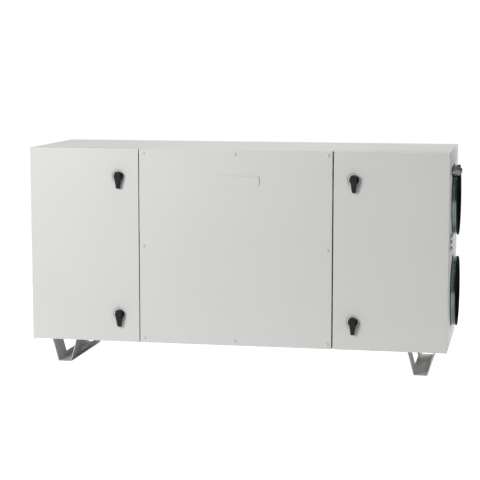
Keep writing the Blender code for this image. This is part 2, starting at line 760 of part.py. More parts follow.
def build_fan(side, level, name):
    """Plug fan: wall with inlet nozzle and motor cage, external-rotor motor, and impeller."""
    low, high = compartment(level)
    middle = (low + high) / 2
    centre = (0, ROTOR_Y, middle)
    plate_end = FAN_PLATE_X + 0.006
    impeller_start = FAN_PLATE_X + 0.024
    impeller_end = impeller_start + FAN_WIDTH
    cage_end = impeller_end + 0.016
    wall = box(
        (FAN_PLATE_X, FRAME_Y + 0.002, low + 0.002),
        (plate_end, INNER_BACK - 0.002, high - 0.002),
    )
    hole = rod(NOZZLE_RADIUS, 0, 1, "X", centre, 32)
    nozzle = turned(
        [
            (NOZZLE_RADIUS - 0.004, FAN_PLATE_X + 0.001),
            (NOZZLE_RADIUS + 0.004, FAN_PLATE_X + 0.001),
            (NOZZLE_RADIUS, impeller_start + 0.006),
            (NOZZLE_RADIUS - 0.004, impeller_start + 0.006),
        ],
        "X",
        centre,
        32,
    )
    rods = [
        rod(
            0.005,
            FAN_PLATE_X + 0.002,
            cage_end + 0.004,
            "X",
            (0, ROTOR_Y + y * ROD_OFFSET, middle + z * ROD_OFFSET),
            8,
        )
        for y, z in ((-1, -1), (1, -1), (1, 1), (-1, 1))
    ]
    outline = rounded_rectangle(0.262, 0.262, 0.030, (ROTOR_Y, middle), 3)
    motor_plate = prism(outline, cage_end, cage_end + 0.006, "X")
    cage = joined(cut_from(wall, hole), nozzle, motor_plate, *rods, solver="MANIFOLD")
    finish(f"{name}_fan_wall", mirrored(cage, side), "frame_steel")

    motor_start = cage_end + 0.006 + GAP
    motor = turned(
        [
            (0, motor_start),
            (0.062, motor_start),
            (0.062, motor_start + 0.012),
            (0.052, motor_start + 0.016),
            (0.050, motor_start + 0.052),
            (0.044, motor_start + 0.058),
            (0, motor_start + 0.058),
        ],
        "X",
        centre,
        24,
    )
    finish(f"{name}_fan_motor", mirrored(motor, side), "motor_paint", smooth=True)

    shroud = turned(
        [
            (FAN_INLET, impeller_start),
            (FAN_INLET + 0.003, impeller_start),
            (FAN_RADIUS, impeller_start + 0.016),
            (FAN_RADIUS, impeller_start + 0.019),
            (FAN_INLET, impeller_start + 0.004),
        ],
        "X",
        centre,
        32,
    )
    hub = turned(
        [
            (0, impeller_end - 0.004),
            (FAN_RADIUS, impeller_end - 0.004),
            (FAN_RADIUS, impeller_end),
            (0.040, impeller_end),
            (0.040, impeller_end + 0.0155),
            (0, impeller_end + 0.0155),
        ],
        "X",
        centre,
        32,
    )
    blades = []
    for i in range(BLADES):
        outline = [
            (ROTOR_Y + a, middle + b) for a, b in blade_outline(2 * math.pi * i / BLADES)
        ]
        blades.append(prism(outline, impeller_start + 0.003, impeller_end - 0.002, "X"))
    impeller = cut_above_shroud(joined(hub, *blades), impeller_start, centre)
    impeller = mirrored(joined(impeller, shroud), side)
    pivot = (side * impeller_start, centre[1], centre[2])
    finish(f"{name}_impeller", impeller, "impeller_plastic", pivot, smooth=True)


def cut_above_shroud(impeller, start, centre):
    """Trims the blades to the slope of the shroud, so that they end inside it."""
    collar = [
        (FAN_INLET - 0.004, start - 0.01),
        (FAN_RADIUS + 0.01, start - 0.01),
        (FAN_RADIUS + 0.01, start + 0.0205),
        (FAN_INLET - 0.004, start + 0.0005),
    ]
    return cut_from(impeller, turned(collar, "X", centre, 32))


def build_filter(side, level, name):
    """Deep pleated filter cassette: a frame with its media set back on both faces."""
    low, high = compartment(level)
    shape = box(
        (FILTER_X[0], FRAME_Y + 0.006, low + 0.0015), (FILTER_X[1], INNER_BACK - 0.002, high - 0.0015)
    )
    recess_ends(shape, 0.020, 0.010)
    finish(name, mirrored(shape, side), "filter_media")


def recess_ends(shape, border, depth):
    """Sets the middle of the two faces across X back from their border."""
    ends = [face for face in shape.faces if abs(face.normal.x) > 0.9]
    bmesh.ops.inset_individual(shape, faces=ends, thickness=border)
    bmesh.ops.inset_individual(shape, faces=ends, thickness=0.001, depth=-depth)


def build_coil():
    """Water heating coil across the supply outlet."""
    low, high = compartment("upper")
    shape = box(
        (COIL_X[0], FRAME_Y + 0.006, low + 0.0015), (COIL_X[1], INNER_BACK - 0.002, high - 0.0015)
    )
    recess_ends(shape, 0.055, 0.012)
    finish("heater_coil", shape, "aluminium")


# ---------------------------------------------------------------- assembly

clear_scene()
UNIT = make_empty("unit_frame", SHIFT)
MATERIALS = {name: make_material(name) for name in FINISHES}

build_casing()
build_centre_panel()
for end, sign in (("left", -1), ("right", 1)):
    build_end_panel(sign, f"{end}_end_panel")
    build_mullion(sign, f"{end}_mullion")
    build_shelf(sign, f"{end}_shelf")
    build_foot(sign, f"{end}_foot")
    build_door(sign, f"{end}_door")
    build_door_seal(sign, f"{end}_door_seal")
    for height in ("upper", "lower"):
        build_spigot(sign, height, f"{end}_{height}_spigot")
        build_lever(sign, latch_levels()[height], f"{end}_{height}")
    build_hinge(sign, TOP - HINGE_FROM_END, f"{end}_upper")
    build_hinge(sign, BOTTOM + HINGE_FROM_END, f"{end}_lower")
build_rotor()
build_fan(1, "upper", "supply")
build_fan(-1, "lower", "exhaust")
build_filter(-1, "upper", "supply_filter")
build_filter(1, "lower", "extract_filter")
build_coil()
build_pipe(PIPE_Y[0], "heater_flow_pipe")
build_pipe(PIPE_Y[1], "heater_return_pipe")
build_gland_strip()
finish("control_box", box(*CONTROL_BOX, edge=2 * EDGE), "frame_steel")
bpy.context.view_layer.update()
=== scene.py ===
"""Looks of a horizontal heat recovery unit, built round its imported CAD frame.

In metres: +X is the supply outlet end, -Y the service side, +Z up, and the floor is at Z = 0.
"""

import math

import bmesh
import bpy
from mathutils import Matrix, Vector


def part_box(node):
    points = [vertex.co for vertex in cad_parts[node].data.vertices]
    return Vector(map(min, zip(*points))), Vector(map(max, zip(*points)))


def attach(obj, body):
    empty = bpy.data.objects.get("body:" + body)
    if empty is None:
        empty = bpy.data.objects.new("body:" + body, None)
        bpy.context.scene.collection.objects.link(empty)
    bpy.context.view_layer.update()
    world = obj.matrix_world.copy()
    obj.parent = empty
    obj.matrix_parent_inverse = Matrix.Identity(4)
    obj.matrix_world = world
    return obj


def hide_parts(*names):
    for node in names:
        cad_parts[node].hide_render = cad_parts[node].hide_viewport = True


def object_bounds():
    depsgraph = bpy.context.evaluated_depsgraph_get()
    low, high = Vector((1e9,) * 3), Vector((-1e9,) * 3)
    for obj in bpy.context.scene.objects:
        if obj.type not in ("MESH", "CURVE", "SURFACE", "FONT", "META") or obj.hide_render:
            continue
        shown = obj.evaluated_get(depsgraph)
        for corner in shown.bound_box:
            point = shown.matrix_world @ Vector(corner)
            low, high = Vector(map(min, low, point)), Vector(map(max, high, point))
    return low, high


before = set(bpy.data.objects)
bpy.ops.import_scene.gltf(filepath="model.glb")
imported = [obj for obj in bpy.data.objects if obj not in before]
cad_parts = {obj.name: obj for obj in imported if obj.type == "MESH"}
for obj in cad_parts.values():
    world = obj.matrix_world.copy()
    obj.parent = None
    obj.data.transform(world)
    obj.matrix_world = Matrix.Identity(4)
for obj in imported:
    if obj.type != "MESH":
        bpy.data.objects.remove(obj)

CAD_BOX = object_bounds()

# View and light
CAMERA_OFFSET = (1.32465, -6.5716, 1.44163)  # from the front panel's middle, at floor level
CAMERA_TURN = (82.826, 0.0, 11.188)  # degrees
CAMERA_LENS = 113.46
KEY_PLACE = (-3.0, -4.6, 2.35)
KEY_TARGET = (0, -0.2, 0.45)
KEY_SIZE = 1.3
KEY_POWER = 180.0
TOP_PLACE = (0.1, 0.6, 4.2)
TOP_TARGET = (0, 0, 1.0)
TOP_SIZE = 3.0
TOP_POWER = 117.0
SIDE_PLACE = (1.70, 1.5, 0.85)
SIDE_TARGET = (0.9, 0.1, 0.6)
SIDE_SIZE = 0.8
SIDE_POWER = 24.0
SKY = 0.13
SKY_SEEN = 1.05  # as the camera sees it
SKY_REFLECTED = (0.03, 0.24)  # from the service side round to the back
SKY_SPAN = (-0.3, 0.5)  # over which that grows, in the Y of the direction
FLOOR_RADIUS = 60.0
FLOOR_GLOW = 0.97  # as the camera sees the floor
FLOOR_BOUNCE = 0.42  # as it lights the unit, outside the shadow painted into its glow under the unit
FLOOR_SHADE = 0.0  # the share of that left under the unit: a shadow painted into the floor's glow
FLOOR_SHADE_SPAN = (-0.12, 0.03)  # over which it grows to all, from under the unit outwards
FLOOR_NEAR = (1.7, 0.35)  # painted light: how much brighter the floor's glow is beside the unit, and how far out that reaches
FLOOR_REFLECTED = 0.75  # in reflections, near the unit
FLOOR_FAR = 0.22  # the share of that left behind it
FLOOR_FAR_SPAN = (0.8, 3.0)  # over which it falls to that, towards the back

# Sizes of details
BARE_BEYOND = 0.025  # casing panels are bare zinc from this far in
SEAM_SHIFT = {"left": 0.0012, "right": 0.0008}  # of a door skin's inner edge, towards +X
CAP_INSET = 0.020  # of the screw caps' centres, from the centre panel's edges
CAP_RADIUS = 0.0085
CAP_HEIGHT = 0.0040
CAP_DOME = ((1.0, 0.2), (0.95, 0.4), (0.82, 0.675), (0.60, 0.875), (0.32, 0.975))  # shares of those
BACK_SCREW_INSET = 0.022
BACK_SCREW_COLUMNS = 9
BACK_SCREW_ROWS = 4
SKIN_DEPTH = 0.0440  # where a door's outer skin ends, from its front
BREAK_DEPTH = 0.0474  # where its thermal break ends and its liner starts
DISH_RADIUS = 0.0312  # of the pressed dish behind a lever, at the door's front
DISH_FLOOR = 0.0297
DISH_DEPTH = 0.0030
RIVET_MARGIN = 0.0065
RIVET_ROWS = 7
LEVER_REACH = 0.056  # from the spindle down to the tip
LEVER_ABOVE = 0.020  # from the spindle up to the head
LEVER_WIDTH = 0.028
LEVER_TIP_WIDTH = 0.0165
LEVER_TIP_PROUD = 0.018  # of the door's front
LEVER_BACK = 0.0045  # the grip's back face, off the door's front
LEVER_HUB = 0.0220  # radius of the disc under the grip
LEVER_DISC = 0.008  # that disc's front, off the door's front
SPINDLE = 0.006
SPINDLE_HOLE = SPINDLE + 0.002
HINGE_REBATE = 0.009
FOOT_FLAT = 0.062
FOOT_LEAN = math.radians(15)
FOOT_SHEET = 0.003
FOOT_BEND = 0.0005
FOOT_FLANGE = 0.020
FOOT_BOLT_IN = 0.035  # of its bolts, from the foot's ends
FOOT_WINDOW = ((0.132, 0.337), (0.021, 0.1117))  # from the foot's front end, and in height
DUCT_SIDES = 128
DUCT_WALL = 0.0025
DUCT_FLANGE = 0.004
DUCT_SHORT = 0.0022  # how far the collar's mouth stops inside the CAD spigot's
SWAGE_BACK = 0.0115  # the swage's crest, from the mouth
SWAGE_HALF = 0.0022
SWAGE_HEIGHT = 0.0012
SEAL_HEIGHT = 0.0028
SEAL_GAP = 0.0003  # between the CAD's collar and its lip seal
PIPE_RADIUS = 0.012
PIPE_BORE = 0.010
UNION_RADIUS = 0.0165
UNION_SPAN = (0.0120, 0.0360)  # off the end panel
THREAD_START = 0.0340
THREAD_PITCH = 0.0023
THREAD_DEPTH = 0.0011
GLAND_PLATE = 0.004
GLAND_PITCH = 0.027
GLAND_SCREWS = (0.0155, 0.0355)  # from the plate's middle, along Y and Z
FILTER_BORDER = 0.018
FILTER_PLEATS = 44
COIL_SHEET = 0.0015
COIL_END = 0.048  # how far the end plates stand in from the ends
COIL_FINS = 120
COIL_ROWS = 8
CREASE = 35  # degrees, above which an edge is shaded sharp


# ---------------------------------------------------------------- shapes


def spaced(start, end, count):
    """Evenly spaced places from start to end, both included."""
    return [start + (end - start) * i / (count - 1) for i in range(count)]


def mesh_of(shape, name):
    """The shape as a mesh. The shape is used up."""
    bmesh.ops.recalc_face_normals(shape, faces=shape.faces)
    mesh = bpy.data.meshes.new(name)
    shape.to_mesh(mesh)
    shape.free()
    return mesh


def filleted(corners, steps):
    """Closed outline of (a, b, radius) corners, each rounded to its radius."""
    outline = []
    for i, (a, b, radius) in enumerate(corners):
        here = Vector((a, b))
        if radius <= 0:
            outline.append((a, b))
            continue
        back = (Vector(corners[i - 1][:2]) - here).normalized()
        ahead = (Vector(corners[(i + 1) % len(corners)][:2]) - here).normalized()
        half = back.angle(ahead) / 2
        centre = here + (back + ahead).normalized() * radius / math.sin(half)
        start = here + back * radius / math.tan(half) - centre
        end = here + ahead * radius / math.tan(half) - centre
        first = math.atan2(start.y, start.x)
        sweep = (math.atan2(end.y, end.x) - first + math.pi) % (2 * math.pi) - math.pi
        for step in range(steps + 1):
            turn = first + sweep * step / steps
            outline.append(
                (centre.x + radius * math.cos(turn), centre.y + radius * math.sin(turn))
            )
    return outline


def rounded(width, height, radius, centre):
    """Outline of a rectangle with rounded corners."""
    x, z = width / 2, height / 2
    corners = ((x, z), (-x, z), (-x, -z), (x, -z))
    return filleted([(centre[0] + a, centre[1] + b, radius) for a, b in corners], 5)


def ngon(radius, sides, centre=(0, 0), turn=0.0):
    """Outline of a regular polygon."""
    return [
        (
            centre[0] + radius * math.cos(turn + 2 * math.pi * i / sides),
            centre[1] + radius * math.sin(turn + 2 * math.pi * i / sides),
        )
        for i in range(sides)
    ]


def prism(outline, start, end, along):
    """An outline of (a, b) points, extruded along an axis: a, b are the other two axes in order."""
    shape = bmesh.new()
    order = {"X": (2, 0, 1), "Y": (0, 2, 1), "Z": (0, 1, 2)}[along]
    rings = [
        [shape.verts.new([(a, b, level)[i] for i in order]) for a, b in outline]
        for level in (start, end)
    ]
    shape.faces.new(rings[0])
    shape.faces.new(rings[1])
    for i in range(len(outline)):
        j = (i + 1) % len(outline)
        shape.faces.new((rings[0][i], rings[0][j], rings[1][j], rings[1][i]))
    bmesh.ops.recalc_face_normals(shape, faces=shape.faces)
    return shape


def block(low, high, edge=0.0, steps=3):
    """A box between two corners, its edges rounded."""
    low, high = Vector(map(min, low, high)), Vector(map(max, low, high))
    shape = bmesh.new()
    bmesh.ops.create_cube(shape, size=1.0)
    for vertex in shape.verts:
        vertex.co = Vector(c * s for c, s in zip(vertex.co, high - low)) + (low + high) / 2
    if edge:
        bmesh.ops.bevel(
            shape, geom=shape.edges[:], offset=edge, segments=steps, profile=0.5, affect="EDGES"
        )
    return shape


def turned(profile, origin, direction, segments):
    """A closed profile of (radius, distance) points, turned about a line from the origin."""
    shape = bmesh.new()
    rings = []
    for radius, distance in profile:
        if radius < 1e-7:
            rings.append([shape.verts.new((0, 0, distance))])
            continue
        rings.append([shape.verts.new((a, b, distance)) for a, b in ngon(radius, segments)])
    for near, far in zip(rings, rings[1:] + rings[:1]):
        for i in range(segments):
            j = (i + 1) % segments
            corners = [near[i % len(near)], near[j % len(near)]]
            corners += [far[j % len(far)], far[i % len(far)]]
            corners = list(dict.fromkeys(corners))
            if len(corners) > 2:
                shape.faces.new(corners)
    turn = Vector((0, 0, 1)).rotation_difference(Vector(direction))
    shape.transform(Matrix.Translation(origin) @ turn.to_matrix().to_4x4())
    bmesh.ops.recalc_face_normals(shape, faces=shape.faces)
    return shape


def tube(points, radius, sides):
    """A round bar along a line of points, its ends closed."""
    shape = bmesh.new()
    rings = []
    points = [Vector(point) for point in points]
    for i, point in enumerate(points):
        heading = (points[min(i + 1, len(points) - 1)] - points[max(i - 1, 0)]).normalized()
        turn = heading.to_track_quat("Z", "Y").to_matrix()
        rings.append(
            [shape.verts.new(point + turn @ Vector((a, b, 0))) for a, b in ngon(radius, sides)]
        )
    for near, far in zip(rings, rings[1:]):
        for i in range(sides):
            j = (i + 1) % sides
            shape.faces.new((near[i], near[j], far[j], far[i]))
    shape.faces.new(rings[0])
    shape.faces.new(rings[-1])
    bmesh.ops.recalc_face_normals(shape, faces=shape.faces)
    return shape


def merged(*shapes):
    """Several separate shapes in one mesh."""
    whole = bmesh.new()
    for shape in shapes:
        mesh = mesh_of(shape, "part")
        whole.from_mesh(mesh)
        bpy.data.meshes.remove(mesh)
    return whole


def combined(first, *others, operation="UNION"):
    """One closed body from several shapes, by Booleans. The shapes are used up."""
    base = bpy.data.objects.new("boolean_base", mesh_of(first, "boolean_base"))
    bpy.context.scene.collection.objects.link(base)
    for other in others:
        tool = bpy.data.objects.new("boolean_tool", mesh_of(other, "boolean_tool"))
        bpy.context.scene.collection.objects.link(tool)
        cut = base.modifiers.new("boolean", "BOOLEAN")
        cut.operation = operation
        cut.solver = "EXACT"
        cut.object = tool
        graph = bpy.context.evaluated_depsgraph_get()
        result = bpy.data.meshes.new_from_object(base.evaluated_get(graph))
        base.modifiers.clear()
        base.data = result
        bpy.data.objects.remove(tool, do_unlink=True)
    shape = bmesh.new()
    shape.from_mesh(base.data)
    bpy.data.objects.remove(base, do_unlink=True)
    return shape


def cut_from(shape, *tools):
    return combined(shape, *tools, operation="DIFFERENCE")


# ---------------------------------------------------------------- materials


class Graph:
    """Short names for building one material's nodes."""

    def __init__(self, name):
        self.material = bpy.data.materials.new(name)
        self.material.use_nodes = True
        self.tree = self.material.node_tree
        self.shader = self.tree.nodes["Principled BSDF"]
        self.place = self.tree.nodes.new("ShaderNodeTexCoord").outputs["Object"]

    def node(self, kind, inputs=None, **settings):
        node = self.tree.nodes.new(kind)
        for key, value in settings.items():
            setattr(node, key, value)
        for key, value in (inputs or {}).items():
            if isinstance(value, bpy.types.NodeSocket):
                self.tree.links.new(value, node.inputs[key])
            else:
                node.inputs[key].default_value = value
        return node

    def stretched(self, scale):
        return self.node("ShaderNodeMapping", {0: self.place, 3: scale}).outputs[0]

    def noise(self, scale, detail, stretch=None, rough=0.5):
        place = self.stretched(stretch) if stretch else self.place
        inputs = {"Vector": place, "Scale": scale, "Detail": detail, "Roughness": rough}
        return self.node("ShaderNodeTexNoise", inputs).outputs["Fac"]

    def cells(self, scale):
        return self.node(
            "ShaderNodeTexVoronoi", {"Vector": self.place, "Scale": scale}
        ).outputs["Color"]

    def spread(self, value, low, high, start=0.3, end=0.7):
        """Maps a value from start..end to low..high."""
        inputs = {0: value, 1: start, 2: end, 3: low, 4: high}
        return self.node("ShaderNodeMapRange", inputs).outputs[0]

    def sums(self, operation, a, b):
        return self.node("ShaderNodeMath", {0: a, 1: b}, operation=operation).outputs[0]

    def mixed(self, factor, first, second):
        inputs = {0: factor, 6: first, 7: second}
        return self.node("ShaderNodeMix", inputs, data_type="RGBA").outputs[2]

    def shaded(self, colour, factor, amount):
        """The colour, darker and lighter by a share of itself as the factor goes from 0 to 1."""
        dark = tuple(c * (1 - amount) for c in colour) + (1,)
        light = tuple(min(c * (1 + amount), 1) for c in colour) + (1,)
        return self.mixed(factor, dark, light)

    def edges(self, radius):
        """1 on edges that stand out or lie in within the radius, 0 on flat faces."""
        soft = self.node("ShaderNodeBevel", {"Radius": radius}, samples=6).outputs[0]
        flat = self.node("ShaderNodeNewGeometry").outputs["Normal"]
        same = self.node("ShaderNodeVectorMath", {0: soft, 1: flat}, operation="DOT_PRODUCT")
        return self.spread(same.outputs["Value"], 1.0, 0.0, 0.86, 0.99)

    def within(self, low, high):
        """1 inside a box, 0 outside it."""
        axes = self.node("ShaderNodeSeparateXYZ", {0: self.place}).outputs
        inside = 1.0
        for axis, start, end in zip(axes, low, high):
            inside = self.sums("MULTIPLY", inside, self.sums("GREATER_THAN", axis, start))
            inside = self.sums("MULTIPLY", inside, self.sums("LESS_THAN", axis, end))
        return inside

    def bump(self, height, strength, distance):
        inputs = {"Height": height, "Strength": strength, "Distance": distance}
        return self.node("ShaderNodeBump", inputs).outputs[0]

    def done(self, colour, roughness, normal=None, **fixed):
        for key, value in (("Base Color", colour), ("Roughness", roughness), ("Normal", normal)):
            if value is not None:
                self.tree.links.new(value, self.shader.inputs[key])
        for key, value in fixed.items():
            self.shader.inputs[key.replace("_", " ")].default_value = value
        return self.material


SPANGLE = 55.0  # scale of the zinc's crystals
SPANGLE_SPREAD = 0.14  # how far their tones differ


def coated_steel(name, colour, bare=None):
    """Powder coat: faint cloud, fine orange peel. Inside the bare box it is galvanised steel."""
    g = Graph(name)
    cloud = g.noise(2.2, 3)
    fine = g.noise(900.0, 2)
    tone = g.shaded(colour, g.spread(cloud, 0, 1), 0.012)
    tone = g.mixed(g.spread(fine, 0.0, 0.05), tone, (0.5, 0.5, 0.48, 1))
    worn = g.sums("MULTIPLY", g.edges(0.0015), g.spread(g.noise(60.0, 4), 0.0, 0.16, 0.45, 0.7))
    tone = g.mixed(worn, tone, (0.86, 0.86, 0.85, 1))
    rough = g.sums("ADD", g.spread(cloud, 0.40, 0.47), g.spread(fine, -0.02, 0.03))
    normal = g.bump(g.noise(520.0, 2), 0.10, 0.0006)
    if bare:
        inside = g.within(*bare)
        flake = g.node("ShaderNodeSeparateColor", {0: g.cells(SPANGLE)}).outputs[0]
        tone = g.mixed(inside, tone, g.shaded(ZINC, flake, SPANGLE_SPREAD))
        g.tree.links.new(g.sums("MULTIPLY", inside, 0.85), g.shader.inputs["Metallic"])
    return g.done(tone, rough, normal, Specular_IOR_Level=0.45)


def zinc_steel(
    name, colour, metallic=0.85, size=SPANGLE, spread=SPANGLE_SPREAD, roughness=(0.30, 0.48)
):
    """Galvanised sheet: crystal spangle, faint rolling streaks, brighter rubbed edges."""
    g = Graph(name)
    cells = g.node("ShaderNodeSeparateColor", {0: g.cells(size)}).outputs[0]
    small = g.node("ShaderNodeSeparateColor", {0: g.cells(size * 2.3)}).outputs[1]
    flake = g.sums("ADD", g.sums("MULTIPLY", cells, 0.65), g.sums("MULTIPLY", small, 0.35))
    streak = g.noise(30.0, 4, (1.0, 0.12, 9.0))
    tone = g.shaded(colour, flake, spread)
    tone = g.mixed(g.spread(streak, 0.0, 0.16), tone, tuple(c * 0.6 for c in colour) + (1,))
    rub = g.sums("MULTIPLY", g.edges(0.001), g.spread(g.noise(90.0, 4), 0.1, 0.55))
    tone = g.mixed(rub, tone, tuple(min(1, c * 1.5) for c in colour) + (1,))
    rough = g.sums("ADD", g.spread(flake, *roughness, 0.0, 1.0), g.spread(streak, 0.0, 0.06))
    normal = g.bump(g.noise(260.0, 3), 0.06, 0.0005)
    return g.done(tone, rough, normal, Metallic=metallic)


def plain_metal(name, colour, roughness, spread, grain=(1, 1, 1), scale=240.0):
    """Drawn or turned metal: fine grain, which may run along one axis, and patchy tarnish."""
    g = Graph(name)
    line = g.noise(scale, 4, grain)
    patch = g.noise(24.0, 4)
    tone = g.shaded(colour, g.spread(line, 0, 1), spread)
    tarnish = tuple(c * 0.5 for c in colour) + (1,)
    tone = g.mixed(g.spread(patch, 0.0, 0.30, 0.5, 0.75), tone, tarnish)
    rough = g.spread(line, roughness - 0.05, roughness + 0.06)
    rough = g.sums("ADD", rough, g.spread(patch, 0, 0.1))
    return g.done(tone, rough, g.bump(line, 0.08, 0.0004), Metallic=1.0)


def moulded(
    name,
    colour,
    roughness=0.42,
    grain=1400.0,
    depth=0.25,
    edge=0.35,
    metallic=0.0,
    dust=0.055,
    shine=0.5,
):
    """Moulded plastic, rubber or paint: fine grain, dusty patches, edges rubbed lighter."""
    g = Graph(name)
    fine = g.noise(grain, 2)
    patch = g.noise(34.0, 5)
    tone = g.shaded(colour, g.spread(fine, 0, 1), 0.22)
    pale = tuple(min(1, c + dust) for c in colour) + (1,)
    tone = g.mixed(g.spread(patch, 0.0, 0.22, 0.48, 0.78), tone, pale)
    tone = g.mixed(g.sums("MULTIPLY", g.edges(0.0008), edge), tone, pale)
    rough = g.spread(fine, roughness - 0.04, roughness + 0.05)
    rough = g.sums("ADD", rough, g.spread(patch, 0, 0.1))
    normal = g.bump(fine, depth, 0.0003)
    return g.done(tone, rough, normal, Metallic=metallic, Specular_IOR_Level=shine)


def fibre(name, colour):
    """Filter paper: matted fibres, with a little grey dust between."""
    g = Graph(name)
    mat = g.noise(520.0, 5, (1, 0.4, 0.25), 0.7)
    dust = g.noise(16.0, 5)
    tone = g.shaded(colour, g.spread(mat, 0, 1), 0.10)
    tone = g.mixed(g.spread(dust, 0.0, 0.35, 0.4, 0.7), tone, (0.46, 0.45, 0.42, 1))
    return g.done(tone, g.spread(mat, 0.82, 0.97), g.bump(mat, 0.5, 0.0008), Sheen_Weight=0.15)


def foil_wheel(name):
    """Wound flat and corrugated foil: rings a few millimetres apart, broken into small cells whose
    middles are painted dark as the shade inside their channels.
    """
    g = Graph(name)
    rings = g.node(
        "ShaderNodeTexWave",
        {"Vector": g.place, "Scale": 95.0, "Distortion": 0.6, "Detail": 1.0},
        wave_type="RINGS",
        rings_direction="X",
    ).outputs["Fac"]
    cells = g.node(
        "ShaderNodeTexVoronoi", {"Vector": g.place, "Scale": 420.0}, feature="DISTANCE_TO_EDGE"
    ).outputs["Distance"]
    # Painted shade: the middle of each cell is dark, standing in for the shade down the foil's
    # channels. It also sinks there in the bump.
    hole = g.spread(cells, 1.0, 0.0, 0.05, 0.35)
    tone = g.mixed(hole, (0.13, 0.135, 0.14, 1), (0.74, 0.75, 0.77, 1))
    tone = g.mixed(g.spread(rings, 0.0, 0.45, 0.0, 1.0), tone, (0.42, 0.43, 0.45, 1))
    height = g.sums("ADD", hole, g.sums("MULTIPLY", rings, 0.6))
    return g.done(tone, g.spread(rings, 0.28, 0.5, 0, 1), g.bump(height, 0.4, 0.001), Metallic=0.9)


def bare_box():
    """What lies deeper in the casing than its panels' outer skins."""
    low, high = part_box("bottom_panel")[0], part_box("top_panel")[1]
    depth = Vector((BARE_BEYOND, BARE_BEYOND, BARE_BEYOND))
    start = low + depth
    start.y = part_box("front_centre_panel")[0].y + BARE_BEYOND
    return start, high - depth


COAT = (0.705, 0.705, 0.688)
ZINC = (0.52, 0.53, 0.535)
MATERIALS = {
    "coat": coated_steel("coated_steel", COAT),
    "panel": coated_steel("panel_steel", COAT, bare_box()),
    "cap": coated_steel("cap_lacquer", (0.66, 0.657, 0.64)),
    "zinc": zinc_steel("galvanised_sheet", ZINC),
    "foot": zinc_steel("foot_sheet", (0.71, 0.71, 0.695), 0.08, 130.0, 0.06, (0.42, 0.52)),
    "duct": zinc_steel("duct_sheet", (0.27, 0.37, 0.345), 0.9, 70.0, 0.12, (0.13, 0.22)),
    "black": moulded("black_plastic", (0.007, 0.007, 0.007), edge=0.25, dust=0.03, shine=0.3),
    "grey": moulded("grey_plastic", (0.30, 0.30, 0.30), 0.5, 1100.0),
    "rubber": moulded("rubber", (0.008, 0.009, 0.009), 0.85, 700.0, 0.35, 0.1, dust=0.02, shine=0.3),
    # Painted shade: plain black for the sleeve that darkens the inside of the duct collars.
    "shade_sleeve": moulded("painted_duct_shade", (0.006, 0.007, 0.007), 0.9, 260.0, 0.6, 0.0, shine=0.3),
    "fan": moulded("fan_plastic", (0.060, 0.068, 0.078), 0.45, 900.0),
    "motor": moulded("motor_paint", (0.045, 0.047, 0.052), 0.38, 420.0, 0.12, 0.3, 0.2),
    "media": fibre("filter_media", (0.80, 0.79, 0.74)),
    "wheel": foil_wheel("rotor_foil"),
    "alu": plain_metal("aluminium", (0.70, 0.71, 0.72), 0.33, 0.08, (1, 0.1, 1)),
    "plated": plain_metal("plated_brass", (0.42, 0.43, 0.43), 0.34, 0.12),
    "copper": plain_metal("copper", (0.68, 0.36, 0.24), 0.30, 0.12),
    "screw": plain_metal("screw_zinc", (0.62, 0.63, 0.62), 0.34, 0.12, (1, 1, 1), 900.0),
}


# ---------------------------------------------------------------- pieces


def add_bevel(obj, width):
    modifier = obj.modifiers.new("edges", "BEVEL")
    modifier.width = width
    modifier.segments = 2
    modifier.limit_method = "ANGLE"
    modifier.angle_limit = math.radians(40)
    return modifier


def add_normals(obj, keep_sharp):
    modifier = obj.modifiers.new("normals", "WEIGHTED_NORMAL")
    modifier.keep_sharp = keep_sharp
    modifier.weight = 60


def piece(name, shape, finish, body="casing", replaces=(), sharp=CREASE, bevel=0.0):
    """Makes a shape into a piece that rides on a body. It may stand in for CAD nodes."""
    mesh = mesh_of(shape, name)
    mesh.shade_smooth()
    mesh.set_sharp_from_angle(angle=math.radians(sharp))
    mesh.materials.append(MATERIALS[finish])
    obj = bpy.data.objects.new(name, mesh)
    bpy.context.scene.collection.objects.link(obj)
    if bevel:
        add_bevel(obj, bevel).harden_normals = True
    else:
        add_normals(obj, keep_sharp=True)
    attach(obj, body)
    if replaces:
        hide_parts(*replaces)


def dress(finish, *nodes, bevel=0.0):
    """Gives CAD nodes a finish, welds their corners, and rounds or creases their edges."""
    for name in nodes:
        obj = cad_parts[name]
        for slot in obj.material_slots:
            slot.material = MATERIALS[finish]
        weld = obj.modifiers.new("weld", "WELD")
        weld.merge_threshold = 1e-5
        if bevel:
            add_bevel(obj, bevel)
        creases = obj.modifiers.new("creases", "EDGE_SPLIT")
        creases.split_angle = math.radians(CREASE)
        add_normals(obj, keep_sharp=False)


def pan_head(place, direction, radius, height):
    """A low domed screw head, dished in its centre where the driver goes."""
    profile = [
        (0, -0.001),
        (radius * 0.9, -0.001),
        (radius, 0.0004),
        (radius * 0.93, height * 0.55),
        (radius * 0.70, height * 0.88),
        (radius * 0.45, height),
        (radius * 0.38, height * 0.96),
        (radius * 0.30, height * 0.35),
        (0, height * 0.30),
    ]
    return turned(profile, place, direction, 20)


def hexagon(place, along, radius, start, end, chamfer=0.0012):
    """A hexagon along an axis, its corners chamfered at both ends."""
    index = "XYZ".index(along)
    others = [place[i] for i in range(3) if i != index]
    body = prism(ngon(radius, 6, others, math.pi / 6), start, end, along)
    low, high = min(start, end), max(start, end)
    origin, direction = Vector(place), Vector((0, 0, 0))
    origin[index], direction[index] = 0, 1
    cone = [
        (0, low),
        (radius - chamfer, low),
        (radius * 1.02, low + chamfer * 0.7),
        (radius * 1.02, high - chamfer * 0.7),
        (radius - chamfer, high),
        (0, high),
    ]
    return combined(body, turned(cone, origin, direction, 48), operation="INTERSECT")


# ---------------------------------------------------------------- casing


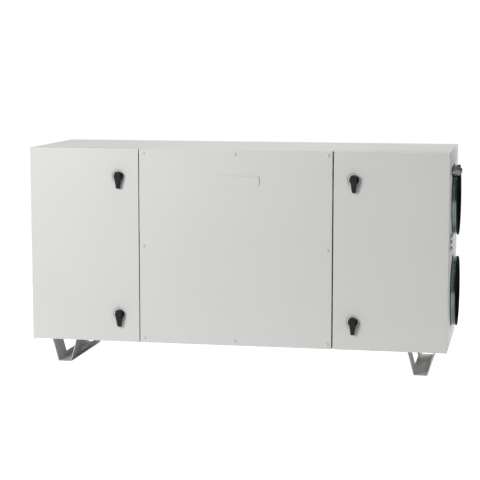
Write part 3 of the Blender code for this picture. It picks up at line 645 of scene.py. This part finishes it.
def build_casing():
    """Panels, mullions, shelves and hinges from the CAD, with screw caps added, and black rubber
    strips in the door seams as painted shade.
    """
    dress("panel", "bottom_panel", "top_panel", "back_panel", "left_end_panel", "right_end_panel")
    dress("panel", "front_centre_panel")
    dress("coat", "blank_name_plate", bevel=0.0006)
    dress("zinc", "left_mullion", "right_mullion", "left_shelf", "right_shelf")
    dress("zinc", "rotor_cassette", "control_box", bevel=0.0004)
    for end in ("left", "right"):
        dress("rubber", f"{end}_door_seal", bevel=0.0012)
        for level in ("upper", "lower"):
            dress("zinc", f"{end}_{level}_cam", bevel=0.0006)
            dress("zinc", f"{end}_{level}_hinge_casing_half", bevel=0.0003)
            dress("zinc", f"{end}_{level}_hinge_door_half", bevel=0.0003)

    low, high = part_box("front_centre_panel")
    centre = (low + high) / 2
    columns = (low.x + CAP_INSET, centre.x, high.x - CAP_INSET)
    rows = (low.z + CAP_INSET, centre.z, high.z - CAP_INSET)
    places = [(x, z) for z in rows for x in columns if (x, z) != (centre.x, centre.z)]
    dome = [(CAP_RADIUS * out, CAP_HEIGHT * up) for out, up in CAP_DOME]
    profile = [(0, -0.0005), (CAP_RADIUS, -0.0005), *dome, (0, CAP_HEIGHT)]
    for number, (x, z) in enumerate(places, 1):
        piece(f"screw_cap_{number}", turned(profile, (x, low.y, z), (0, -1, 0), 40), "cap")
    # Black rubber strips on the centre panel's side edges, a little in from its front: painted shade
    # that darkens the door seams.
    for name, x, out in (("left", low.x, -1), ("right", high.x, 1)):
        strip = block(
            (x + out * 0.0001, low.y + 0.0012, low.z + 0.002),
            (x + out * 0.0008, low.y + 0.0400, high.z - 0.002),
            0.0002,
            1,
        )
        piece(f"centre_panel_{name}_seam_shade_strip", strip, "rubber")
    build_back_screws()


def build_back_screws():
    """Low-headed screws along the edges of the back panel."""
    low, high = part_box("back_panel")
    columns = spaced(low.x + BACK_SCREW_INSET, high.x - BACK_SCREW_INSET, BACK_SCREW_COLUMNS)
    rows = spaced(low.z + BACK_SCREW_INSET, high.z - BACK_SCREW_INSET, BACK_SCREW_ROWS)
    places = [(x, z) for x in columns for z in (rows[0], rows[-1])]
    places += [(x, z) for x in (columns[0], columns[-1]) for z in rows[1:-1]]
    for number, (x, z) in enumerate(places, 1):
        shape = pan_head((x, high.y, z), (0, 1, 0), 0.0060, 0.0028)
        piece(f"back_panel_screw_{number:02d}", shape, "screw")


def build_foot(end):
    """Folded channel with leaning walls and a window through both, bolted under the casing."""
    low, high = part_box(f"{end}_foot")
    centre = (low.x + high.x) / 2
    rise = high.z
    lean = math.tan(FOOT_LEAN)
    wall = FOOT_SHEET / math.cos(FOOT_LEAN)
    flat, sheet, bend = FOOT_FLAT / 2, FOOT_SHEET, FOOT_BEND

    def at(height):
        return flat + height * lean

    outer = [
        (flat, 0, bend + sheet),
        (at(rise - sheet), rise - sheet, bend),
        (at(rise) + FOOT_FLANGE, rise - sheet, 0),
        (at(rise) + FOOT_FLANGE, rise, 0),
        (at(rise) - wall, rise, bend + sheet),
        (at(sheet) - wall, sheet, bend),
    ]
    corners = outer + [(-a, b, radius) for a, b, radius in reversed(outer)]
    outline = filleted([(centre + a, b, radius) for a, b, radius in corners], 6)
    channel = prism(outline, low.y, high.y, "Y")
    (start, stop), (bottom, top) = FOOT_WINDOW
    middle = (low.y + (start + stop) / 2, (bottom + top) / 2)
    window = rounded(stop - start, top - bottom, 0.004, middle)
    tool = prism(window, centre - 0.2, centre + 0.2, "X")
    shape = cut_from(channel, tool)
    piece(f"{end}_foot_sheet", shape, "foot", replaces=[f"{end}_foot"], bevel=0.0003)

    under = rise - sheet
    ring = [(0, 0.0), (0.008, 0.0), (0.008, 0.0012), (0, 0.0012)]
    columns = (low.x + FOOT_FLANGE / 2, high.x - FOOT_FLANGE / 2)
    rows = (low.y + FOOT_BOLT_IN, high.y - FOOT_BOLT_IN)
    for number, (x, y) in enumerate([(x, y) for x in columns for y in rows], 1):
        washer = turned(ring, (x, y, under), (0, 0, -1), 32)
        head = hexagon((x, y, 0), "Z", 0.0066, under - 0.0052, under - 0.0010)
        piece(f"{end}_foot_bolt_{number}", combined(washer, head), "screw")


# ---------------------------------------------------------------- ducts, pipes, glands


def build_duct(end, level):
    """Spigot collar with a swage, its lip seal, the bead at its foot, and a black sleeve in its bore
    that is painted shade for the inside of the duct.
    """
    name = f"{end}_{level}"
    low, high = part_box(f"{name}_spigot")
    side = 1 if end == "right" else -1
    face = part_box(f"{end}_end_panel")[1 if side > 0 else 0].x
    mouth = (high.x if side > 0 else low.x) - face
    inside = (low.x if side > 0 else high.x) - face
    mouth, inside = mouth * side - DUCT_SHORT, inside * side
    flange = (high.z - low.z) / 2
    seal_low, seal_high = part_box(f"{name}_lip_seal")
    radius = (seal_high.z - seal_low.z) / 2 - SEAL_HEIGHT - SEAL_GAP
    bore = radius - DUCT_WALL
    origin = (face, (low.y + high.y) / 2, (low.z + high.z) / 2)
    heading = (side, 0, 0)
    swage = mouth - SWAGE_BACK
    collar = filleted(
        [
            (bore, inside, 0.0),
            (flange, inside, 0.0008),
            (flange, inside + DUCT_FLANGE, 0.0008),
            (radius, inside + DUCT_FLANGE, 0.0015),
            (radius, swage - SWAGE_HALF, 0.001),
            (radius + SWAGE_HEIGHT, swage - 0.0008, 0.0008),
            (radius + SWAGE_HEIGHT, swage + 0.0008, 0.0008),
            (radius, swage + SWAGE_HALF, 0.001),
            (radius, mouth - 0.0010, 0.0006),
            (bore, mouth - 0.0010, 0.0006),
        ],
        3,
    )
    shape = turned(collar, origin, heading, DUCT_SIDES)
    piece(f"{name}_duct_collar", shape, "duct", replaces=[f"{name}_spigot"])
    on = radius + 0.0002
    lips = filleted(
        [
            (on, mouth - 0.0068, 0.0),
            (on + 0.0010, mouth - 0.0066, 0.0003),
            (on + SEAL_HEIGHT, mouth - 0.0040, 0.0004),
            (on + SEAL_HEIGHT - 0.0006, mouth - 0.0030, 0.0003),
            (on + 0.0009, mouth - 0.0026, 0.0003),
            (on + 0.0009, mouth, 0.0006),
            (bore - 0.0008, mouth, 0.0003),
            (bore - 0.0008, mouth - 0.0009, 0.0),
            (on, mouth - 0.0009, 0.0),
        ],
        2,
    )
    shape = turned(lips, origin, heading, DUCT_SIDES)
    piece(f"{name}_duct_lips", shape, "rubber", replaces=[f"{name}_lip_seal"])
    bead = filleted(
        [(on, 0.0, 0), (on + 0.0052, 0.0, 0.0006), (on + 0.0030, 0.0022, 0.0012), (on, 0.0030, 0.0)],
        3,
    )
    piece(f"{name}_duct_bead", turned(bead, origin, heading, DUCT_SIDES), "rubber")
    # A black sleeve just inside the collar's bore: painted shade for the dark inside of the duct.
    shade_sleeve = [
        (bore - 0.0004, inside + 0.001),
        (bore - 0.0004, mouth - 0.0015),
        (bore - 0.0016, mouth - 0.0030),
        (bore - 0.0016, inside + 0.001),
    ]
    piece(f"{name}_duct_lining", turned(shade_sleeve, origin, heading, DUCT_SIDES), "shade_sleeve")


def build_pipe(node):
    """Pipe stub with a threaded end, a hexagonal union and a rosette on the end panel."""
    low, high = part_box(node)
    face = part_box("right_end_panel")[1].x
    centre = (low + high) / 2
    origin = (face, centre.y, centre.z)
    crest, root, pitch = PIPE_RADIUS, PIPE_RADIUS - THREAD_DEPTH, THREAD_PITCH
    inside, end = low.x - face, high.x - face
    profile = [(PIPE_BORE, inside), (crest, inside), (crest, THREAD_START)]
    profile.append((root, THREAD_START + 0.0005))
    turn = THREAD_START + 0.0010
    while turn + pitch < end - 0.001:
        profile += [(root, turn), (crest, turn + 0.35 * pitch), (crest, turn + 0.6 * pitch)]
        turn += pitch
    profile += [(root, turn), (root, end - 0.0004), (root - 0.0004, end), (PIPE_BORE, end)]
    piece(f"{node}_tube", turned(profile, origin, (1, 0, 0), 48), "plated", replaces=[node])
    start, stop = face + UNION_SPAN[0], face + UNION_SPAN[1]
    nut = hexagon((0, centre.y, centre.z), "X", UNION_RADIUS, start, stop, 0.0016)
    clear = PIPE_RADIUS + 0.0001
    hole = turned([(0, -0.1), (clear, -0.1), (clear, 0.1), (0, 0.1)], origin, (1, 0, 0), 48)
    piece(f"{node}_union", cut_from(nut, hole), "plated")
    rose = filleted(
        [
            (PIPE_RADIUS + 0.0003, 0.0001, 0),
            (0.0185, 0.0001, 0.0005),
            (0.0180, 0.0020, 0.0008),
            (PIPE_RADIUS + 0.0003, 0.0021, 0),
        ],
        3,
    )
    piece(f"{node}_rosette", turned(rose, origin, (1, 0, 0), 48), "rubber")


def build_glands():
    """Plate with a row of cable glands, held by four screws."""
    low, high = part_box("cable_gland_strip")
    centre = (low + high) / 2
    face = low.x
    outline = rounded(high.y - low.y, high.z - low.z, 0.004, (centre.y, centre.z))
    plate = prism(outline, face, face + GLAND_PLATE, "X")
    piece("gland_plate", plate, "cap", replaces=["cable_gland_strip"], bevel=0.0004)
    for number, step in enumerate((-1, 0, 1), 1):
        z = centre.z + step * GLAND_PITCH
        nut = hexagon((0, centre.y, z), "X", 0.0082, face + 0.0041, face + 0.0068, 0.0007)
        profile = filleted(
            [
                (0, 0.0066, 0),
                (0.0064, 0.0066, 0),
                (0.0064, 0.0082, 0.0007),
                (0.0052, 0.0096, 0.0008),
                (0.0040, 0.0096, 0.0004),
                (0.0036, 0.0084, 0.0002),
                (0, 0.0084, 0),
            ],
            3,
        )
        dome = turned(profile, (face, centre.y, z), (1, 0, 0), 40)
        piece(f"gland_{number}", combined(nut, dome), "grey", bevel=0.0002)
    for number, (a, b) in enumerate(((-1, -1), (1, -1), (-1, 1), (1, 1)), 1):
        y, z = centre.y + a * GLAND_SCREWS[0], centre.z + b * GLAND_SCREWS[1]
        place = (face + GLAND_PLATE, y, z)
        piece(f"gland_screw_{number}", pan_head(place, (1, 0, 0), 0.0024, 0.0014), "screw")


# ---------------------------------------------------------------- doors and latches


def latch_places(end):
    """(level name, X, Z) of the two latches of a door."""
    for level in ("upper", "lower"):
        low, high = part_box(f"{end}_{level}_lever")
        yield level, (low.x + high.x) / 2, low.z + LEVER_REACH


def dish_cutter(x, front, z):
    """What is cut from a door's front for a pressed dish with a soft rim."""
    wall = DISH_RADIUS - DISH_FLOOR
    profile = [
        (0, -0.004),
        (DISH_RADIUS + 0.0085, -0.004),
        (DISH_RADIUS + 0.0024, -0.00045),
        (DISH_RADIUS + 0.0008, 0.06 * DISH_DEPTH),
        (DISH_RADIUS - 0.0008, 0.27 * DISH_DEPTH),
        (DISH_RADIUS - 0.70 * wall, 0.77 * DISH_DEPTH),
        (DISH_FLOOR - 0.0002, 0.92 * DISH_DEPTH),
        (DISH_FLOOR - 0.0022, DISH_DEPTH),
        (0, DISH_DEPTH),
    ]
    return turned(profile, (x, front, z), (0, 1, 0), 96)


def hole_cutter(x, front, z):
    """What is cut from a door for a lever's spindle, right through."""
    profile = [(0, -0.01), (SPINDLE_HOLE, -0.01), (SPINDLE_HOLE, 0.1), (0, 0.1)]
    return turned(profile, (x, front, z), (0, 1, 0), 32)


def build_door(end):
    """Outer skin, thermal break and inner liner, then the spindle bushes and the liner's rivets."""
    body = f"{end}_door_leaf"
    side = 1 if end == "right" else -1
    low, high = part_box(f"{end}_door")
    inner, outer = (low.x, high.x) if side > 0 else (high.x, low.x)
    front, back = low.y, high.y
    skin_end, break_end = front + SKIN_DEPTH, front + BREAK_DEPTH
    spindles = [(x, front, z) for _, x, z in latch_places(end)]

    edge = inner + SEAM_SHIFT[end]
    skin = block((edge, front, low.z), (outer, skin_end, high.z), 0.0018, 4)
    tools = [cutter(*place) for place in spindles for cutter in (dish_cutter, hole_cutter)]
    piece(f"{end}_door_skin", cut_from(skin, *tools), "coat", body, [f"{end}_door"], sharp=28)

    strip = block(
        (inner + side * 0.0012, skin_end, low.z + 0.0012),
        (outer - side * 0.0012, break_end, high.z - 0.0012),
    )
    holes = [hole_cutter(*place) for place in spindles]
    piece(f"{end}_door_thermal_break", cut_from(strip, *holes), "black", body)

    edge = outer - side * HINGE_REBATE
    liner = block((inner, break_end, low.z), (edge, back, high.z), 0.0008, 3)
    holes = [hole_cutter(*place) for place in spindles]
    piece(f"{end}_door_liner", cut_from(liner, *holes), "zinc", body)

    for level, x, z in latch_places(end):
        ring = filleted(
            [
                (SPINDLE + 0.0004, -0.004, 0),
                (SPINDLE + 0.0018, -0.004, 0),
                (SPINDLE + 0.0018, 0.0001, 0),
                (0.0150, 0.0001, 0.0004),
                (0.0140, 0.0024, 0.0008),
                (SPINDLE + 0.0004, 0.0026, 0.0003),
            ],
            3,
        )
        shape = turned(ring, (x, back, z), (0, 1, 0), 48)
        piece(f"{end}_{level}_spindle_bush", shape, "black", body)

    rows = spaced(low.z + RIVET_MARGIN, high.z - RIVET_MARGIN, RIVET_ROWS)
    columns = (inner + side * RIVET_MARGIN, edge - side * RIVET_MARGIN * 1.4)
    rivets = [(x, back - 0.0001, z) for z in rows for x in columns]
    for number, place in enumerate(rivets, 1):
        shape = pan_head(place, (0, 1, 0), 0.0028, 0.0012)
        piece(f"{end}_door_rivet_{number:02d}", shape, "screw", body)


def grip_outline(inset, radius):
    """Front view of the lever's grip, hub centre at 0, 0: a bar that tapers down to its tip."""
    head, tip = LEVER_WIDTH / 2 - inset, LEVER_TIP_WIDTH / 2 - inset
    top, end = LEVER_ABOVE - inset, inset - LEVER_REACH
    corners = [
        (head, top, radius * 0.75),
        (head, -0.006, radius * 2.0),
        (tip, end, radius * 0.70),
        (-tip, end, radius * 0.70),
        (-head, -0.006, radius * 2.0),
        (-head, top, radius * 0.75),
    ]
    return filleted(corners, 5)


def build_grip(x, front, z, proud):
    """The lever's grip: rounded over its edges, a little hollow on top, lower towards its tip."""
    shape = bmesh.new()
    rings = []
    profile = (  # inset of the outline, share of the height, radius of the outline's corners
        (0.0, 0.0, 0.0045),
        (0.0002, 0.45, 0.0045),
        (0.0005, 0.78, 0.0044),
        (0.0012, 0.90, 0.0042),
        (0.0022, 0.96, 0.0038),
        (0.0036, 0.99, 0.0030),
        (0.0046, 1.0, 0.0024),
        (0.0056, 0.995, 0.0020),
        (0.0064, 0.975, 0.0016),
    )
    for inset, share, radius in profile:
        ring = []
        for a, b in grip_outline(inset, radius):
            down = min(max(-b / LEVER_REACH, 0), 1)
            stand = proud + (LEVER_TIP_PROUD - proud) * down**1.15
            off = LEVER_BACK + (stand - LEVER_BACK) * share
            ring.append(shape.verts.new((x + a, front - off, z + b)))
        rings.append(ring)
    for near, far in zip(rings, rings[1:]):
        for i, corner in enumerate(near):
            j = (i + 1) % len(near)
            shape.faces.new((corner, near[j], far[j], far[i]))
    shape.faces.new(rings[0])
    inner = shape.faces.new(rings[-1])
    bmesh.ops.triangulate(shape, faces=[inner])
    bmesh.ops.recalc_face_normals(shape, faces=shape.faces)
    return shape


def build_lever(end, level, x, z):
    """Handle with its hub disc and spindle in one, and the nut that holds the cam."""
    name = f"{end}_{level}"
    body = f"{name}_latch"
    low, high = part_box(f"{name}_lever")
    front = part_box(f"{end}_door")[0].y
    grip = build_grip(x, front, z, front - low.y)
    disc = filleted(
        [
            (0, -(DISH_DEPTH - 0.0004), 0),
            (LEVER_HUB, -(DISH_DEPTH - 0.0004), 0.0006),
            (LEVER_HUB, LEVER_DISC - 0.0022, 0.0012),
            (LEVER_HUB - 0.0035, LEVER_DISC, 0.0012),
            (0, LEVER_DISC, 0),
        ],
        4,
    )
    hub = turned(disc, (x, front, z), (0, -1, 0), 72)
    rod = [(0, 0.003), (SPINDLE, 0.003), (SPINDLE, high.y - front), (0, high.y - front)]
    spindle = turned(rod, (x, front, z), (0, 1, 0), 32)
    piece(f"{name}_handle", combined(grip, hub, spindle), "black", body, [f"{name}_lever"], 40)
    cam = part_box(f"{name}_cam")[1].y
    nut = hexagon((x, 0, z), "Y", 0.0075, cam + 0.0002, cam + 0.0052, 0.0009)
    piece(f"{name}_cam_nut", nut, "screw", body)


# ---------------------------------------------------------------- inside


def build_filter(node):
    """Sheet frame round pleated paper, with beads that hold the pleats and a pull tab."""
    low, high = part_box(node)
    border = FILTER_BORDER
    outer = block(low, high, 0.0008, 2)
    inner = block(
        (low.x - 0.01, low.y + border, low.z + border),
        (high.x + 0.01, high.y - border, high.z - border),
    )
    piece(f"{node}_frame", cut_from(outer, inner), "zinc", replaces=[node])
    start, stop = low.y + border, high.y - border
    pitch = (stop - start) / FILTER_PLEATS
    near, far = low.x + 0.009, high.x - 0.009
    line = []
    for i in range(FILTER_PLEATS):
        line += [(near, start + pitch * i), (far, start + pitch * (i + 0.5))]
    line.append((near, stop))
    thick = pitch * 0.16
    outline = line + [(x, y - thick) for x, y in reversed(line)]
    outline[0] = (near, start + 0.0001)
    media = prism(outline, low.z + border, high.z - border, "Z")
    piece(f"{node}_pleats", media, "media", sharp=20)
    levels = spaced(low.z + border, high.z - border, 5)[1:-1]
    for number, z in enumerate(levels, 1):
        for face, x in (("near", near - 0.0012), ("far", far + 0.0012)):
            bar = tube([(x, start, z), (x, stop, z)], 0.0016, 8)
            piece(f"{node}_bead_{face}_{number}", bar, "media")
    centre = (low + high) / 2
    outline = rounded(0.030, 0.060, 0.006, (centre.x, centre.z))
    tab = prism(outline, low.y - 0.0014, low.y - 0.0002, "Y")
    piece(f"{node}_pull_tab", tab, "rubber", bevel=0.0003)


def build_coil():
    """Frame, fins and two columns of tubes, joined in pairs by bends outside the end plates."""
    low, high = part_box("heater_coil")
    sheet = COIL_SHEET
    near, far = low.y + COIL_END, high.y - COIL_END
    parts = [
        block((low.x, low.y, low.z), (high.x, high.y, low.z + sheet)),
        block((low.x, low.y, high.z - sheet), (high.x, high.y, high.z)),
    ]
    parts += [block((low.x, y, low.z), (high.x, y + sheet, high.z)) for y in (near, far - sheet)]
    casing = combined(*parts)
    piece("heater_coil_frame", casing, "zinc", replaces=["heater_coil"], bevel=0.0003)

    thin = 0.00018
    fins = [
        block((low.x + 0.003, y - thin, low.z + 0.002), (high.x - 0.003, y + thin, high.z - 0.002))
        for y in spaced(near + 2 * sheet, far - 2 * sheet, COIL_FINS)
    ]
    piece("heater_coil_fins", merged(*fins), "alu")

    levels = spaced(low.z + 0.025, high.z - 0.025, COIL_ROWS)
    pitch = levels[1] - levels[0]
    ends = ((near - 0.004, -1), (far + 0.004, 1))
    tubes = []
    for column, x in enumerate((low.x + 0.018, high.x - 0.018)):
        tubes += [tube([(x, ends[0][0], z), (x, ends[1][0], z)], 0.005, 16) for z in levels]
        for i in range(column % 2, COIL_ROWS - 1, 2):
            for y, out in ends:
                if out > 0 and i == 0:  # the lowest pair stays open at the back
                    continue
                tubes.append(return_bend(x, y, levels[i], out, pitch))
    piece("heater_coil_tubes", merged(*tubes), "copper", sharp=50)


def return_bend(x, y, z, out, pitch):
    """Half a turn from one tube up to the next, outside an end plate."""
    half = pitch / 2
    turns = [math.pi * step / 12 for step in range(13)]
    bend = [(x, y + out * half * math.sin(t), z + half - half * math.cos(t)) for t in turns]
    return tube(bend, 0.0052, 16)


def build_inside():
    dress("wheel", "rotor_wheel")
    dress("alu", "rotor_axle")
    dress("rubber", "drive_belt")
    dress("black", "motor_pulley", bevel=0.0004)
    dress("motor", "rotor_motor", bevel=0.0008)
    for fan in ("supply", "exhaust"):
        dress("zinc", f"{fan}_fan_wall", bevel=0.0004)
        dress("fan", f"{fan}_impeller", bevel=0.0004)
        dress("motor", f"{fan}_fan_motor", bevel=0.0008)
    build_filter("supply_filter")
    build_filter("extract_filter")
    build_coil()


# ---------------------------------------------------------------- stage


def floor_paper():
    """Pale paper that glows: one strength for the camera, one in reflections, one as light. As light
    its glow has a shadow painted in under the unit and a brighter band painted beside it; in
    reflections it has the painted shadow only.
    """
    g = Graph("floor_paper")
    soft = g.noise(1.5, 2)
    path = g.node("ShaderNodeLightPath").outputs
    tone = g.shaded((0.36, 0.36, 0.36), g.spread(soft, 0, 1), 0.01)
    g.done(tone, g.spread(soft, 0.85, 0.95), None, Specular_IOR_Level=0.0)
    g.shader.inputs["Emission Color"].default_value = (1, 1, 1, 1)
    x, y = g.node("ShaderNodeSeparateXYZ", {0: g.place}).outputs[:2]
    corner = CAD_BOX[1]  # the box has its middle at X, Y = 0
    beside = g.sums("SUBTRACT", g.sums("ABSOLUTE", x, 0.0), corner.x)
    before = g.sums("SUBTRACT", g.sums("ABSOLUTE", y, 0.0), corner.y)
    away = g.sums("MAXIMUM", beside, before)
    # Painted shadow: the glow falls away under the unit.
    outside_painted_shadow = g.spread(away, FLOOR_SHADE, 1.0, *FLOOR_SHADE_SPAN)
    # Painted light: a brighter band of glow beside the unit.
    near = g.spread(away, FLOOR_NEAR[0], 1.0, 0.0, FLOOR_NEAR[1])
    bounce = g.sums("MULTIPLY", g.sums("MULTIPLY", outside_painted_shadow, FLOOR_BOUNCE), near)
    mirror = g.spread(y, FLOOR_REFLECTED, FLOOR_REFLECTED * FLOOR_FAR, *FLOOR_FAR_SPAN)
    glow = g.spread(path["Is Glossy Ray"], bounce, g.sums("MULTIPLY", outside_painted_shadow, mirror), 0.0, 1.0)
    glow = g.spread(path["Is Camera Ray"], glow, FLOOR_GLOW, 0.0, 1.0)
    g.tree.links.new(glow, g.shader.inputs["Emission Strength"])
    return g.material


def build_stage():
    mesh = bpy.data.meshes.new("floor")
    disc = bmesh.new()
    bmesh.ops.create_circle(disc, cap_ends=True, segments=96, radius=FLOOR_RADIUS)
    disc.to_mesh(mesh)
    disc.free()
    mesh.materials.append(floor_paper())
    floor = bpy.data.objects.new("floor", mesh)
    bpy.context.scene.collection.objects.link(floor)

    build_world()
    add_light("key", KEY_PLACE, KEY_TARGET, KEY_SIZE, KEY_POWER)
    add_light("top_fill", TOP_PLACE, TOP_TARGET, TOP_SIZE, TOP_POWER, mirrored=False)
    add_light("side_fill", SIDE_PLACE, SIDE_TARGET, SIDE_SIZE, SIDE_POWER, mirrored=False)
    build_camera()
    bpy.context.scene.view_settings.view_transform = "Standard"


def build_camera():
    camera = bpy.data.cameras.new("camera")
    camera.lens = CAMERA_LENS
    camera.sensor_width = 36.0
    camera.clip_end = 200.0
    holder = bpy.data.objects.new("camera", camera)
    low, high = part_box("front_centre_panel")
    holder.location = Vector(((low.x + high.x) / 2, low.y, 0)) + Vector(CAMERA_OFFSET)
    holder.rotation_euler = [math.radians(turn) for turn in CAMERA_TURN]
    bpy.context.scene.collection.objects.link(holder)
    bpy.context.scene.camera = holder


def build_world():
    """White to the camera, pale for light, and darker towards the service side in reflections."""
    world = bpy.data.worlds.new("studio")
    bpy.context.scene.world = world
    world.use_nodes = True
    tree = world.node_tree

    def node(kind, *inputs):
        made = tree.nodes.new(kind)
        for i, value in enumerate(inputs):
            if isinstance(value, bpy.types.NodeSocket):
                tree.links.new(value, made.inputs[i])
            else:
                made.inputs[i].default_value = value
        return made

    heading = node("ShaderNodeTexCoord").outputs["Generated"]
    level = node("ShaderNodeSeparateXYZ", heading).outputs["Y"]
    mirror = node("ShaderNodeMapRange", level, *SKY_SPAN, *SKY_REFLECTED).outputs[0]
    path = node("ShaderNodeLightPath").outputs
    chosen = node("ShaderNodeMapRange", path["Is Glossy Ray"], 0.0, 1.0, SKY, mirror).outputs[0]
    shade = node("ShaderNodeBackground", (1, 1, 1, 1), chosen)
    white = node("ShaderNodeBackground", (1, 1, 1, 1), SKY_SEEN)
    mix = node("ShaderNodeMixShader", path["Is Camera Ray"], shade.outputs[0], white.outputs[0])
    tree.links.new(mix.outputs[0], tree.nodes["World Output"].inputs[0])


def add_light(name, place, target, size, power, mirrored=True):
    light = bpy.data.lights.new(name, "AREA")
    light.shape = "SQUARE"
    light.size = size
    light.energy = power
    holder = bpy.data.objects.new(name, light)
    holder.location = place
    heading = Vector(target) - Vector(place)
    holder.rotation_euler = heading.to_track_quat("-Z", "Y").to_euler()
    holder.visible_glossy = mirrored
    holder.visible_camera = False
    bpy.context.scene.collection.objects.link(holder)


build_stage()
build_casing()
for end_name in ("left", "right"):
    build_foot(end_name)
    for level_name in ("upper", "lower"):
        build_duct(end_name, level_name)
    build_door(end_name)
    for level_name, lever_x, lever_z in latch_places(end_name):
        build_lever(end_name, level_name, lever_x, lever_z)
build_pipe("heater_flow_pipe")
build_pipe("heater_return_pipe")
build_glands()
build_inside()
